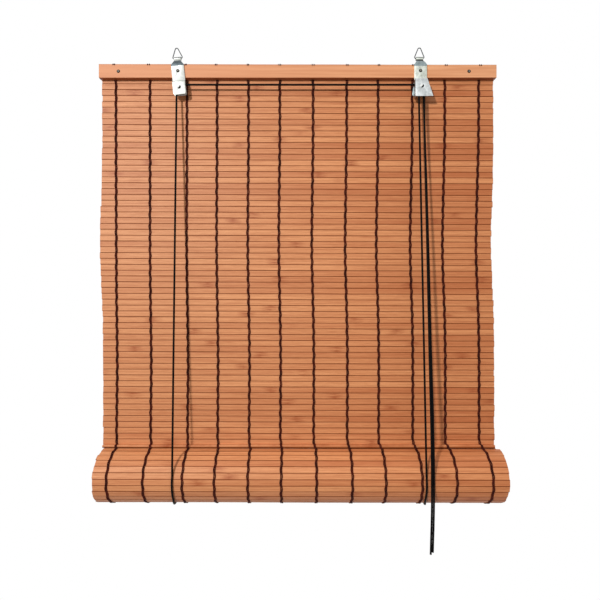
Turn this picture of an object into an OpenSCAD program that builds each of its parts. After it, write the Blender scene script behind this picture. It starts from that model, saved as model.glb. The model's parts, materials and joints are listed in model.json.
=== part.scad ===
// Bamboo roll up blind: a slat mat clamped in a headrail, its lower length rolled up in two cord slings.
// Millimetres. The origin is midway between the two hanging rings, where the hooks bear.
// +X to the right, +Y to the wall, +Z up.

/* [Slat mat] */
// Length of each slat, which is the width of the blind
blind_w = 600; // [450:10:900]
// Height of one slat
slat_h = 8.4; // [7:0.1:11]
// Open gap between two slats
slat_gap = 0.53; // [0.3:0.01:1.2]
// Thickness of a slat
slat_t = 1.8; // [1.4:0.1:2.6]
// Thickness of the tie between two slats
web_t = 0.6; // [0.3:0.1:1]
// Height of the hanging part of the mat, made up of whole slats
mat_drop = 571.5; // [430:0.5:720]
// Depth of the mat's top edge below the headrail's top edge
mat_tuck = 6.5; // [2:0.1:8]
// Distance of the mat's front face behind the rings
mat_setback = 2; // [0:0.1:4]
// Warp lines across the width
warp_count = 12; // [8:1:16]
// Distance of the outer warp lines from the slat ends
warp_inset = 20; // [12:1:40]
// Sideways stray of the third warp line
warp_stray = 7; // [0:0.5:8]
// Width of a warp line
warp_w = 3.4; // [2:0.1:4]
// Thickness of a warp line
warp_t = 0.8; // [0.5:0.1:1.2]

/* [Roll] */
// Outer radius of the roll, over the slats
roll_r = 39.5; // [36:0.5:50]
// Turns in the roll
roll_turns = 6; // [4:1:6]
// Share of a turn that stays round before the mat drops under the turn above it
round_share = 0.7; // [0.5:0.05:0.8]
// Sideways offset of the roll from the hanging mat
roll_shift = 3.2; // [0:0.1:5]
// Distance of the roll's axis in front of the hanging mat
roll_fore = 6.5; // [4:0.1:8]
// Height of the bottom battens
bottom_batten_h = 15; // [10:0.5:16]
// Thickness of each bottom batten
bottom_batten_t = 5; // [3:0.5:5.5]

/* [Headrail] */
// Height of the battens
batten_h = 19.5; // [16:0.5:24]
// Thickness of the front batten
front_batten_t = 8; // [6:0.5:12]
// Thickness of the back batten
back_batten_t = 6; // [5:0.5:10]
// Chamfer on the lower front edge
batten_chamfer = 0.6; // [0.5:0.1:3]
// Length by which a batten stands out past the slat ends on each side
batten_over = 1.8; // [0:0.1:5]
// Left clamping nail, from the slat ends
left_nail_inset = 28; // [15:1:60]
// Right clamping nail, from the slat ends
right_nail_inset = 40; // [15:1:60]
// Diameter of a nail's shank
nail_d = 1.8; // [1.2:0.1:2.4]
// Diameter of a nail's head
nail_head_d = 4.2; // [3:0.1:5]

/* [Brackets] */
// Pulley axle of the left bracket, from the slat ends
left_axle_inset = 121.5; // [90:0.5:150]
// Pulley axle of the right bracket, from the slat ends
right_axle_inset = 114; // [90:0.5:150]
// Lean of the left bracket, which was nailed on crooked
left_lean = 6; // [0:0.5:8]
// Width of a bracket's plate
plate_w = 19; // [16:0.5:24]
// Thickness of the bracket's sheet
sheet_t = 1; // [0.8:0.1:1.4]
// Rise of the neck from the headrail's top to the eye
neck_rise = 13; // [11:0.5:16]
// Width of the eye that holds the ring
eye_w = 10.8; // [9:0.1:11]
// Inner height of a ring above the eye's axis
ring_h = 15; // [13:0.5:20]
// Room below the ring's wire inside the eye
eye_room = 0.9; // [0.4:0.1:1.2]
// Width of a ring at its base, between wire centres
ring_w = 14.4; // [14:0.1:17]
// Diameter of the ring's wire
wire_d = 1.4; // [1:0.1:1.8]

/* [Cords and pulleys] */
// Diameter of the cords
cord_d = 2.4; // [2:0.1:2.6]
// Radius of a pulley at the bottom of its groove
groove_r = 2.85; // [2.6:0.05:3.5]
// Radius of a pulley's rim
rim_r = 5.2; // [4.8:0.1:5.5]
// Thickness of a pulley's flanges
flange_t = 0.45; // [0.3:0.05:0.6]
// Diameter of the axles
axle_d = 2.6; // [2:0.1:3]
// Depth of the pulley axles below the headrail's lower edge
pulley_drop = 16.5; // [15:0.5:22]

/* [Clearances] */
// Room around a pin in its hole
pin_fit = 0.05; // [0.02:0.01:0.08]
// Room between a pulley and what is beside it
side_fit = 0.3; // [0.2:0.05:0.4]
// Room between a cord and what it runs on
cord_fit = 0.15; // [0.1:0.05:0.3]
// Room between the roll and the mat that runs on to it
roll_fit = 0.3; // [0.2:0.05:0.5]
// Room between the roll and its slings
sling_fit = 0.8; // [0.4:0.1:1]
// Room between the bottom battens' corners and the innermost turn
core_fit = 1.36; // [1.2:0.02:2]

/* [Hidden] */
$fn = 48;

bamboo = [0.83, 0.55, 0.38];
pale_wood = [0.88, 0.62, 0.42];
zinc = [0.80, 0.82, 0.80];
dark_thread = [0.24, 0.09, 0.05];
black_cord = [0.05, 0.04, 0.04];
steel = [0.62, 0.62, 0.60];

// Heights, from the hanging line down
eye_z = -ring_h;
curl_z = eye_z - eye_room;
rail_top = eye_z - neck_rise;
rail_bottom = rail_top - batten_h;
nail_z = rail_top - batten_h / 2;
batten_w = blind_w + 2 * batten_over;
pulley_z = rail_bottom - pulley_drop;
slat_pitch = slat_h + slat_gap;
hang_slats = round(mat_drop / slat_pitch);
mat_top = rail_top - mat_tuck;
mat_bottom = mat_top - hang_slats * slat_pitch;
bend_room = slat_t + warp_t + 2 * roll_fit;
roll_z = mat_bottom - bend_room - roll_r;

// Depths, from the plane of the rings
mat_front = mat_setback;
mat_back = mat_front + slat_t;
rail_front = mat_front - front_batten_t;
rail_back = mat_back + back_batten_t;
roll_y = mat_front - roll_fore;

// Bracket leaves: the back leaf lies on the batten, and the front leaf lies on the back leaf
leaf_mid = rail_front - sheet_t;
leaf_front = leaf_mid - sheet_t;
fold_z = rail_top + plate_w / 2 * sin(left_lean);
step_drop = 5.5;
step_z = rail_bottom - step_drop;
joggle_h = 3;
plate_drop = 11.4;
plate_bottom = pulley_z - plate_drop;
plate_corner = 3;
neck_base_w = 17;
neck_top_w = 9;
eye_bore_r = wire_d / 2 + eye_room + 2 * pin_fit;
eye_r = eye_bore_r + sheet_t;
ring_apex_r = 2.4;
ring_corner_r = 1.6;
arc_steps = 6;
wire_sides = 12;
left_x = -blind_w / 2 + left_axle_inset;
right_x = blind_w / 2 - right_axle_inset;

// Pulleys, between the back leaf and the housing in front of it
axle_r = axle_d / 2;
rivet_t = 0.9;
rivet_rim = 1.4;
rivet_r = axle_r + rivet_rim;
groove_w = cord_d + 2 * side_fit;
pulley_w = groove_w + 2 * flange_t;
groove_step = groove_w + flange_t;
rear_groove_y = leaf_mid - side_fit - pulley_w / 2;
front_groove_y = rear_groove_y - groove_step;
housing_inner = rear_groove_y - pulley_w / 2 - side_fit;
housing_front = housing_inner - sheet_t;
cover_inner = housing_inner - groove_step;
cover_front = cover_inner - sheet_t;

// Lock housing, sideways from its pulley axle
cover_drop = 15.5;
cover_bottom = pulley_z - cover_drop;
cover_left = -9.8;
cover_top_right = 8.2;
cover_right = 17;
leaf_drop = 12;
leaf_left = -12.4;
leaf_right = 13.5;
leaf_corner = 2;
pawl_x = 9.6;
pawl_drop = 5;
pawl_z = pulley_z - pawl_drop;
pawl_tip_drop = 4;
pawl_tooth = 0.8;
pawl_hub_r = 2.2;
pawl_pin_r = 0.9;

// Cords
cord_r = cord_d / 2;
wrap_r = groove_r + cord_fit + cord_r;
sling_r = roll_r + sling_fit + cord_r;
sling_joint = 0.5;
run_joint = 0.4;
left_drift = 1.5;
right_drift = 1;
left_sling_x = left_x - left_drift;
right_sling_x = right_x - right_drift;
cord_back_y = rail_back + cord_fit + cord_r;
exit_drop = 0.5;
exit_z = cover_bottom - exit_drop;
knot_r = cord_d;
staple_drop = 12;
staple_z = rail_top - staple_drop;
knot_rise = 6;
knot_z = staple_z + knot_rise;
staple_t = 1;
staple_depth = 4;

// Route of the pull strand that comes from the cross cord: down to the roll's axis, then its hanging end
rear_upper = [
    [190.2, -9.25, -80], [190.3, -9.9, -90], [190.5, -11, -105], [190.9, -12.8, -135],
    [191.3, -14.7, -165], [191.9, -16.6, -195], [192.4, -19.1, -235], [192.9, -21.6, -275],
    [193.3, -24.2, -315], [193.6, -26.7, -355], [194, -29.3, -395], [194.2, -31.8, -435],
    [194.4, -34.5, -475], [194.6, -37.1, -515], [194.8, -39.8, -555], [194.9, -42.9, -600],
    [194.9, -45.2, -630], [194.9, -46.8, -650]
];
rear_lower = [
    [194.9, -46.8, -650], [194.9, -47.1, -670], [194.6, -47.1, -690],
    [194.2, -47, -710], [193.6, -46.9, -730], [193.2, -46.8, -745]
];
// Route of the pull strand that comes from the right lift cord
front_upper = [
    [190.2, -12.7, -80], [190.1, -13.3, -90], [190, -14.2, -105], [189.9, -15.9, -135],
    [190, -17.7, -165], [190.3, -19.5, -195], [190.5, -21.9, -235], [190.7, -24.2, -275],
    [190.9, -26.6, -315], [191.1, -28.9, -355], [191.3, -31.3, -395], [191.5, -33.6, -435],
    [191.6, -36, -475], [191.7, -38.3, -515], [191.8, -40.7, -555], [191.9, -43.5, -600],
    [191.9, -45.5, -630], [191.9, -46.8, -650]
];
front_lower = [
    [191.9, -46.8, -650], [191.9, -47.1, -670], [191.6, -47.1, -690],
    [191.2, -47, -710], [190.6, -46.9, -730], [190.2, -46.8, -748]
];
cord_sides = 8;

// Sideways place of warp line k: even steps, with the third line tied a little off its place
stray_line = 2.1;
function warp_x(k) =
    -blind_w / 2 + warp_inset + k * (blind_w - 2 * warp_inset) / (warp_count - 1)
    + warp_stray * exp(-pow(k - stray_line, 2));

// The place, in front view, of a point at height z on the centre line of a bracket that leans about its axle
function leaned(x, z, lean) = [x - (z - pulley_z) * sin(lean), pulley_z + (z - pulley_z) * cos(lean)];

batten_nails_at = [[-blind_w / 2 + left_nail_inset, nail_z], [blind_w / 2 - right_nail_inset, nail_z]];
bracket_nails_at = [leaned(left_x, nail_z, left_lean), leaned(right_x, nail_z, 0)];
nails_at = concat(batten_nails_at, bracket_nails_at);
nail_r = nail_d / 2;
nail_head_t = 0.9;
nail_cover = 1;
nail_end = rail_back - nail_cover;

// Winding of the roll: angles count from the top over the front, and the radius drops once a turn
roll_start = 2.5;
roll_end = 360 * roll_turns - 0.01;
short_slat = 8;
core_r = norm([slat_t / 2 + bottom_batten_t, bottom_batten_h / 2]) + slat_t + core_fit;
turn_pitch = (roll_r - core_r) / roll_turns;
function turn_part(a) = a / 360 - floor(a / 360);
function drop_part(f) = max(0, (f - round_share) / (1 - round_share));
function winding_r(a) = roll_r - turn_pitch * (floor(a / 360) + drop_part(turn_part(a)));
function slat_turn(a) = 2 * asin(slat_pitch / 2 / winding_r(a));
function gap_turn(a) = atan(slat_gap / winding_r(a));
function on_roll(a, r) = [roll_y - r * sin(a), roll_z + r * cos(a)];
slat_edges = concat(
    [for (a = roll_start; a < roll_end - short_slat; a = a + slat_turn(a)) a],
    [roll_end]
);
groove_depth = (slat_t - web_t) / 2;
warp_turn = 345;

// Tangent of the sling at a cord that leaves it for a point at depth y and height z
function sling_turn(y, z, side) =
    atan2(roll_y - y, z - roll_z) + side * acos(sling_r / norm([roll_y - y, z - roll_z]));
left_front_turn = sling_turn(rear_groove_y, pulley_z, 1);
right_front_turn = sling_turn(front_groove_y, pulley_z, 1);
back_turn = 360 + sling_turn(cord_back_y, staple_z, -1);

module along_x(len) {
    rotate([90, 0, 90]) linear_extrude(len, center = true) children();
}

module along_y(y_from, y_to) {
    translate([0, y_to, 0]) rotate([90, 0, 0]) linear_extrude(y_to - y_from) children();
}

module pin_y(r, y_from, y_to) {
    translate([0, y_to, 0]) rotate([90, 0, 0]) cylinder(r = r, h = y_to - y_from);
}

module rod(a, b, r) {
    v = b - a;
    translate(a) rotate([0, acos(v[2] / norm(v)), atan2(v[1], v[0])]) cylinder(r = r, h = norm(v));
}

// Stands a bracket's pieces at its axle and leans them
module bracket_frame(x, lean) {
    translate([x, 0, pulley_z]) rotate([0, -lean, 0]) translate([0, 0, -pulley_z]) children();
}

module nail_holes(y_from, y_to) {
    for (p = nails_at) translate([p[0], 0, p[1]]) pin_y(nail_r + pin_fit, y_from, y_to);
}

module nail(head_front) {
    pin_y(nail_head_d / 2, head_front, head_front + nail_head_t);
    pin_y(nail_r, head_front + nail_head_t, nail_end - pin_fit);
}

module front_batten() {
    color(pale_wood) difference() {
        along_x(batten_w) polygon([
            [mat_front, rail_top], [rail_front, rail_top],
            [rail_front, rail_bottom + batten_chamfer], [rail_front + batten_chamfer, rail_bottom],
            [mat_front, rail_bottom]
        ]);
        nail_holes(rail_front - 1, mat_front + 1);
    }
}

module back_batten() {
    color(pale_wood) difference() {
        along_x(batten_w) translate([mat_back, rail_bottom]) square([back_batten_t, batten_h]);
        nail_holes(mat_back - 1, nail_end);
        for (x = [left_sling_x, right_sling_x]) staple_legs(x, pin_fit);
    }
}

module batten_nails() {
    color(steel) for (p = batten_nails_at) translate([p[0], 0, p[1]]) nail(rail_front - nail_head_t);
}

module bracket_nails() {
    color(steel) for (p = bracket_nails_at) translate([p[0], 0, p[1]]) nail(leaf_front - nail_head_t);
}

// Both leaves of a bracket and its neck, in side view, folded over the ring's wire
module folded_strip() {
    run = [-leaf_mid, curl_z - fold_z];
    out = sheet_t * [run[1], -run[0]] / norm(run);
    translate([leaf_front, step_z]) square([2 * sheet_t, fold_z - step_z]);
    polygon([
        [leaf_front, fold_z - sheet_t], [rail_front, fold_z - sheet_t], [rail_front, fold_z],
        [out[0], curl_z + out[1]], [-out[0], curl_z - out[1]], [leaf_front, fold_z + sheet_t]
    ]);
    translate([0, curl_z]) circle(eye_r);
}

// Plate, neck and eye of a bracket, in front view
module bracket_outline() {
    polygon([
        [-plate_w / 2, step_z - joggle_h], [plate_w / 2, step_z - joggle_h],
        [plate_w / 2, rail_top], [neck_base_w / 2, rail_top + sheet_t],
        [neck_top_w / 2, curl_z - eye_r - sheet_t], [eye_w / 2, curl_z - eye_r],
        [eye_w / 2, curl_z + 2 * eye_r], [-eye_w / 2, curl_z + 2 * eye_r],
        [-eye_w / 2, curl_z - eye_r], [-neck_top_w / 2, curl_z - eye_r - sheet_t],
        [-neck_base_w / 2, rail_top + sheet_t], [-plate_w / 2, rail_top]
    ]);
}

// Lower half of a plate, with rounded corners, in front view
module rounded_plate() {
    inner_half = plate_w / 2 - plate_corner;
    translate([-plate_w / 2, plate_bottom + plate_corner])
        square([plate_w, step_z - plate_bottom - plate_corner]);
    translate([-inner_half, plate_bottom]) square([2 * inner_half, plate_corner]);
    for (side = [-1, 1]) translate([side * inner_half, plate_bottom + plate_corner]) circle(plate_corner);
}

module bracket_top() {
    difference() {
        intersection() {
            along_x(2 * plate_w) folded_strip();
            along_y(leaf_front - 1, rail_back) bracket_outline();
        }
        translate([0, 0, curl_z]) rotate([0, 90, 0]) cylinder(r = eye_bore_r, h = 2 * eye_w, center = true);
        translate([0, 0, nail_z]) pin_y(nail_r + pin_fit, leaf_front - 1, rail_front + 1);
    }
}

module left_bracket() {
    color(zinc) bracket_frame(left_x, left_lean) difference() {
        union() {
            bracket_top();
            along_y(leaf_mid, rail_front) rounded_plate();
            intersection() {
                along_x(2 * plate_w) polygon([
                    [leaf_mid, step_z], [leaf_front, step_z],
                    [housing_front, step_z - joggle_h], [housing_front, plate_bottom],
                    [housing_inner, plate_bottom], [housing_inner, step_z - joggle_h]
                ]);
                along_y(housing_front - 1, rail_front) rounded_plate();
            }
        }
        translate([0, 0, pulley_z]) pin_y(axle_r + pin_fit, housing_front - 1, rail_front + 1);
    }
}

// Back leaf of the lock, in front view, with cut corners
module lock_leaf() {
    leaf_bottom = pulley_z - leaf_drop;
    polygon([
        [leaf_left + leaf_corner, leaf_bottom], [leaf_right - leaf_corner, leaf_bottom],
        [leaf_right, leaf_bottom + leaf_corner], [plate_w / 2, step_z],
        [-plate_w / 2, step_z], [leaf_left, leaf_bottom + leaf_corner]
    ]);
}

module right_bracket() {
    color(zinc) bracket_frame(right_x, 0) difference() {
        union() {
            bracket_top();
            along_y(leaf_mid, rail_front) lock_leaf();
        }
        translate([0, 0, pulley_z]) pin_y(axle_r + pin_fit, leaf_mid - 1, rail_front + 1);
        translate([pawl_x, 0, pawl_z]) pin_y(pawl_pin_r + pin_fit, leaf_mid - 1, rail_front + 1);
    }
}

// Cover of the cord lock: a front plate with its left side folded back to the bracket
module lock_cover() {
    color(zinc) bracket_frame(right_x, 0) difference() {
        union() {
            along_y(cover_front, cover_inner) polygon([
                [cover_left, cover_bottom], [cover_right, cover_bottom],
                [cover_top_right, step_z], [cover_left, step_z]
            ]);
            along_y(cover_inner, leaf_mid) translate([cover_left, cover_bottom])
                square([sheet_t, step_z - cover_bottom]);
        }
        translate([0, 0, pulley_z]) pin_y(axle_r + pin_fit, cover_front - 1, cover_inner + 1);
        translate([0, rear_groove_y, pulley_z + wrap_r]) rotate([0, -90, 0])
            cylinder(r = cord_r + side_fit, h = -2 * cover_left);
    }
}

// Points of one half of a ring's wire, from its end inside the eye to the apex
function half_ring() =
    let (
        apex_z = wire_d / 2 - ring_apex_r,
        corner_x = ring_w / 2 - ring_corner_r,
        corner_z = eye_z + ring_corner_r,
        rise = [-corner_x, apex_z - corner_z],
        lean = atan2(rise[1], rise[0]) - acos((ring_corner_r - ring_apex_r) / norm(rise))
    )
    concat(
        [[side_fit / 2, 0, eye_z]],
        [for (i = [0:arc_steps]) let (a = -90 + i * (lean + 90) / arc_steps)
            [corner_x + ring_corner_r * cos(a), 0, corner_z + ring_corner_r * sin(a)]],
        [for (i = [0:arc_steps]) let (a = lean + i * (90 - lean) / arc_steps)
            [ring_apex_r * cos(a), 0, apex_z + ring_apex_r * sin(a)]]
    );

// Three-sided ring of bent wire, whose ends meet inside the bracket's eye
module hanger_ring() {
    half = half_ring();
    points = concat(half, [for (i = [len(half) - 2:-1:0]) [-half[i][0], 0, half[i][2]]]);
    last = len(points) - 1;
    headings = [for (i = [0:last]) points[min(i + 1, last)] - points[max(i - 1, 0)]];
    tube(points, headings, [for (p = points) [0, -1, 0]], wire_d / 2, wire_sides);
}

module left_ring() {
    color(steel) bracket_frame(left_x, left_lean) hanger_ring();
}

module right_ring() {
    color(steel) bracket_frame(right_x, 0) hanger_ring();
}

// Pulley with a row of grooves, from its rear groove forwards
module pulley(grooves) {
    back = rear_groove_y + pulley_w / 2;
    front = back - pulley_w - (grooves - 1) * groove_step;
    difference() {
        union() {
            pin_y(groove_r, front, back);
            for (i = [0:grooves]) pin_y(rim_r, back - i * groove_step - flange_t, back - i * groove_step);
        }
        pin_y(axle_r + pin_fit, front - 1, back + 1);
    }
}

module left_pulley() {
    color(steel) translate([left_x, 0, pulley_z]) pulley(1);
}

module lock_pulley() {
    color(steel) translate([right_x, 0, pulley_z]) pulley(2);
}

// Rivet that pins a housing's front to the back leaf
module rivet(front) {
    pin_y(rivet_r, front - rivet_t, front);
    pin_y(axle_r, front, rail_front);
    pin_y(rivet_r, rail_front, rail_front + rivet_t);
}

module left_axle() {
    color(steel) translate([left_x, 0, pulley_z]) rivet(housing_front);
}

module lock_axle() {
    color(steel) translate([right_x, 0, pulley_z]) rivet(cover_front);
}

module pawl_pin() {
    color(steel) translate([right_x + pawl_x, 0, pawl_z]) {
        pin_y(pawl_pin_r, cover_inner + pin_fit, rail_front);
        pin_y(pawl_pin_r + rivet_t, rail_front, rail_front + rivet_t);
    }
}

// Toothed pawl that jams the pull strands
module lock_pawl() {
    tip = wrap_r + cord_r + side_fit - pawl_x;
    color(steel) translate([right_x + pawl_x, 0, pawl_z]) difference() {
        along_y(cover_inner + side_fit, leaf_mid - side_fit) {
            circle(pawl_hub_r);
            polygon([
                [0, pawl_hub_r], [tip, 2 * pawl_tooth - pawl_tip_drop],
                [tip + pawl_tooth, pawl_tooth - pawl_tip_drop], [tip, -pawl_tip_drop],
                [tip + pawl_tooth, -pawl_tooth - pawl_tip_drop], [tip, -2 * pawl_tooth - pawl_tip_drop],
                [0, -pawl_hub_r]
            ]);
        }
        pin_y(pawl_pin_r + pin_fit, cover_inner, leaf_mid);
    }
}

// One face of the flat mat, from its lower edge up: slat faces and the ties set back between them
function mat_face(y_slat, y_web) = [
    for (k = [0:hang_slats - 1]) let (low = mat_bottom + k * slat_pitch + slat_gap / 2, high = low + slat_h)
        each concat(
            k == 0 ? [] : [[y_web, low]],
            [[y_slat, low], [y_slat, high]],
            k == hang_slats - 1 ? [] : [[y_web, high]]
        )
];

function reversed(list) = [for (i = [len(list) - 1:-1:0]) list[i]];

module slat_mat() {
    color(bamboo) difference() {
        along_x(blind_w) polygon(concat(
            mat_face(mat_front, mat_front + groove_depth),
            reversed(mat_face(mat_back, mat_back - groove_depth))
        ));
        for (p = nails_at) translate([p[0], mat_front + slat_t / 2, p[1]])
            cube([nail_d + 4 * pin_fit, 2 * slat_t, nail_d + 4 * pin_fit], center = true);
    }
}

module mat_warps() {
    low = mat_bottom + slat_gap / 2;
    color(dark_thread) for (k = [0:warp_count - 1]) for (y = [mat_front - warp_t, mat_back])
        translate([warp_x(k) - warp_w / 2, y, low]) cube([warp_w, warp_t, rail_bottom - low]);
}

// Ends of the warp threads, which come up between the battens and lie over the front one
module warp_tufts() {
    top = mat_top - slat_gap / 2;
    color(dark_thread) for (k = [0:warp_count - 1]) translate([warp_x(k) - warp_w / 2, 0, 0]) {
        translate([0, mat_front, top]) cube([warp_w, slat_t, rail_top - top]);
        translate([0, rail_front + warp_t, rail_top]) cube([warp_w, mat_back - rail_front - warp_t, warp_t]);
    }
}

// The slat that lies over the roll's top, where the hanging mat turns forwards
module mat_bend() {
    lay_r = roll_r + warp_t + roll_fit + slat_t / 2;
    color(bamboo) translate([roll_shift / 2, roll_y, roll_z])
        rotate([asin((slat_h / 2 + roll_fit - roll_fore) / lay_r), 0, 0])
            translate([0, 0, lay_r]) cube([blind_w, slat_h, slat_t], center = true);
}

// Outer corners of slat i of the roll, raised by a height
function slat_corners(i, raise) = [
    on_roll(slat_edges[i] + gap_turn(slat_edges[i]) / 2, winding_r(slat_edges[i]) + raise),
    on_roll(slat_edges[i + 1] - gap_turn(slat_edges[i + 1]) / 2, winding_r(slat_edges[i + 1]) + raise)
];

module mat_roll() {
    last = len(slat_edges) - 1;
    outer = [for (i = [0:last - 1]) each concat(
        slat_corners(i, 0),
        i == last - 1 ? [] : [on_roll(slat_edges[i + 1], winding_r(slat_edges[i + 1]) - groove_depth)]
    )];
    inner = [for (a = slat_edges) on_roll(a, winding_r(a) - slat_t)];
    color(bamboo) translate([roll_shift, 0, 0]) along_x(blind_w) {
        polygon(concat(outer, reversed(inner)));
        translate([roll_y - slat_t / 2, roll_z - bottom_batten_h / 2])
            square([slat_t, bottom_batten_h / 2 + winding_r(roll_end) - slat_t / 2]);
    }
}

module roll_warps() {
    slats = [for (i = [0:len(slat_edges) - 2]) if (slat_edges[i + 1] < warp_turn) i];
    outer = [for (i = slats) each slat_corners(i, warp_t)];
    inner = [for (i = slats) each slat_corners(i, 0)];
    color(dark_thread) for (k = [0:warp_count - 1]) translate([roll_shift + warp_x(k), 0, 0])
        along_x(warp_w) polygon(concat(outer, reversed(inner)));
}

module bottom_batten(y) {
    color(pale_wood) translate([roll_shift, 0, 0]) along_x(blind_w)
        translate([y, roll_z - bottom_batten_h / 2]) square([bottom_batten_t, bottom_batten_h]);
}

module bottom_batten_front() {
    bottom_batten(roll_y - slat_t / 2 - bottom_batten_t);
}

module bottom_batten_back() {
    bottom_batten(roll_y + slat_t / 2);
}

// A cord's run from a point at the headrail to the sling at winding angle a
module lift_run(top, x, a) {
    end = on_roll(a, sling_r);
    color(black_cord) rod([x, end[0], end[1]], top, cord_r);
}

module left_lift_front() {
    lift_run([left_x - wrap_r, rear_groove_y, pulley_z - run_joint], left_sling_x, left_front_turn);
}

module right_lift_front() {
    lift_run([right_x - wrap_r, front_groove_y, pulley_z - run_joint], right_sling_x, right_front_turn);
}

module left_lift_back() {
    lift_run([left_sling_x, cord_back_y, knot_z - knot_r - pin_fit], left_sling_x, back_turn);
}

module right_lift_back() {
    lift_run([right_sling_x, cord_back_y, knot_z - knot_r - pin_fit], right_sling_x, back_turn);
}

// Sling under the roll, from winding angle a to the back run
module sling(x, a) {
    color(black_cord) translate([x, roll_y, roll_z]) rotate([90, 0, 90]) rotate([0, 0, 90 + a + sling_joint])
        rotate_extrude(angle = back_turn - a - 2 * sling_joint) translate([sling_r, 0]) circle(cord_r);
}

module left_sling() {
    sling(left_sling_x, left_front_turn);
}

module right_sling() {
    sling(right_sling_x, right_front_turn);
}

// Cord over a pulley, from angle a0 to a1, counted from +X upwards
module cord_wrap(x, y, a0, a1) {
    translate([x, y, pulley_z]) rotate([90, 0, 0]) rotate([0, 0, a0])
        rotate_extrude(angle = a1 - a0) translate([wrap_r, 0]) circle(cord_r);
}

// The left lift cord over its pulley, across to the lock and down through it
module cross_cord() {
    top = pulley_z + wrap_r;
    out = right_x + wrap_r;
    color(black_cord) {
        cord_wrap(left_x, rear_groove_y, 90, 180);
        rod([left_x, rear_groove_y, top], [right_x, rear_groove_y, top], cord_r);
        cord_wrap(right_x, rear_groove_y, 0, 90);
        rod([out, rear_groove_y, exit_z], [out, rear_groove_y, pulley_z], cord_r);
    }
}

// The right lift cord over the lock's pulley and down through the lock
module lock_cord() {
    out = right_x + wrap_r;
    color(black_cord) {
        cord_wrap(right_x, front_groove_y, 0, 180);
        rod([out, front_groove_y, exit_z], [out, front_groove_y, pulley_z], cord_r);
    }
}

module staple_legs(x, grow) {
    leg = staple_t + 2 * grow;
    for (side = [-1, 1])
        translate([
            x + side * (cord_r + side_fit + staple_t / 2) - leg / 2,
            rail_back - staple_depth - grow,
            staple_z - leg / 2
        ]) cube([leg, staple_depth + cord_fit + cord_d + side_fit + grow, leg]);
}

// Staples that hold the fixed ends of the lift cords to the back batten
module cord_staples() {
    crown_w = cord_d + 2 * side_fit + 2 * staple_t;
    color(steel) for (x = [left_sling_x, right_sling_x]) {
        staple_legs(x, 0);
        translate([x - crown_w / 2, cord_back_y + cord_r + side_fit, staple_z - staple_t / 2])
            cube([crown_w, staple_t, staple_t]);
    }
}

module cord_knots() {
    color(black_cord) for (x = [left_sling_x, right_sling_x])
        translate([x, rail_back + knot_r + cord_fit, knot_z]) sphere(knot_r);
}

// Tube along a list of points, with its heading and its front at each point
module tube(points, headings, fronts, r, sides) {
    last = len(points) - 1;
    function across(i) = cross(fronts[i], headings[i]) / norm(headings[i]);
    function at(i, j) = i * sides + j % sides;
    rings = [for (i = [0:last]) for (j = [0:sides - 1]) let (a = j * 360 / sides)
        points[i] + r * (cos(a) * across(i) + sin(a) * fronts[i])];
    walls = [for (i = [0:last - 1]) for (j = [0:sides - 1]) each [
        [at(i, j), at(i + 1, j + 1), at(i, j + 1)],
        [at(i, j), at(i + 1, j), at(i + 1, j + 1)]
    ]];
    ends = [
        [for (j = [0:sides - 1]) at(0, j)],
        [for (j = [0:sides - 1]) at(last, sides - 1 - j)]
    ];
    polyhedron(rings, concat(walls, ends));
}

// Hanging cord along a list of points that runs downwards, with level ends
module cord_tube(points) {
    last = len(points) - 1;
    headings = [for (i = [0:last]) i == 0 || i == last ? [0, 0, -1] : points[i + 1] - points[i - 1]];
    fronts = [for (h = headings) cross(h, [1, 0, 0]) / norm(cross(h, [1, 0, 0]))];
    color(black_cord) tube(points, headings, fronts, cord_r, cord_sides);
}

module pull_rear_upper() {
    cord_tube(rear_upper);
}

module pull_front_upper() {
    cord_tube(front_upper);
}

module pull_rear_lower() {
    cord_tube(rear_lower);
}

module pull_front_lower() {
    cord_tube(front_lower);
}

front_batten();
back_batten();
batten_nails();
bracket_nails();
left_bracket();
right_bracket();
left_ring();
right_ring();
left_pulley();
left_axle();
lock_pulley();
lock_axle();
lock_cover();
lock_pawl();
pawl_pin();
slat_mat();
mat_warps();
warp_tufts();
mat_bend();
mat_roll();
roll_warps();
bottom_batten_front();
bottom_batten_back();
left_lift_front();
right_lift_front();
left_lift_back();
right_lift_back();
left_sling();
right_sling();
cross_cord();
lock_cord();
cord_staples();
cord_knots();
pull_rear_upper();
pull_front_upper();
pull_rear_lower();
pull_front_lower();
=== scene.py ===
# %% [markdown]
# # A bamboo roll up blind
# The blind hangs by two wire rings from a wooden headrail. Flat bamboo slats are tied side by side
# with dark warp threads, and the lower part of the mat is rolled up in two slings of black cord.
# The solids come from the part's own model, in metres: +X right, +Y to the wall, +Z up, with the
# origin between the tops of the rings. Here they get their real surfaces.

# %% Load the solids
import json
import math
import random

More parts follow.
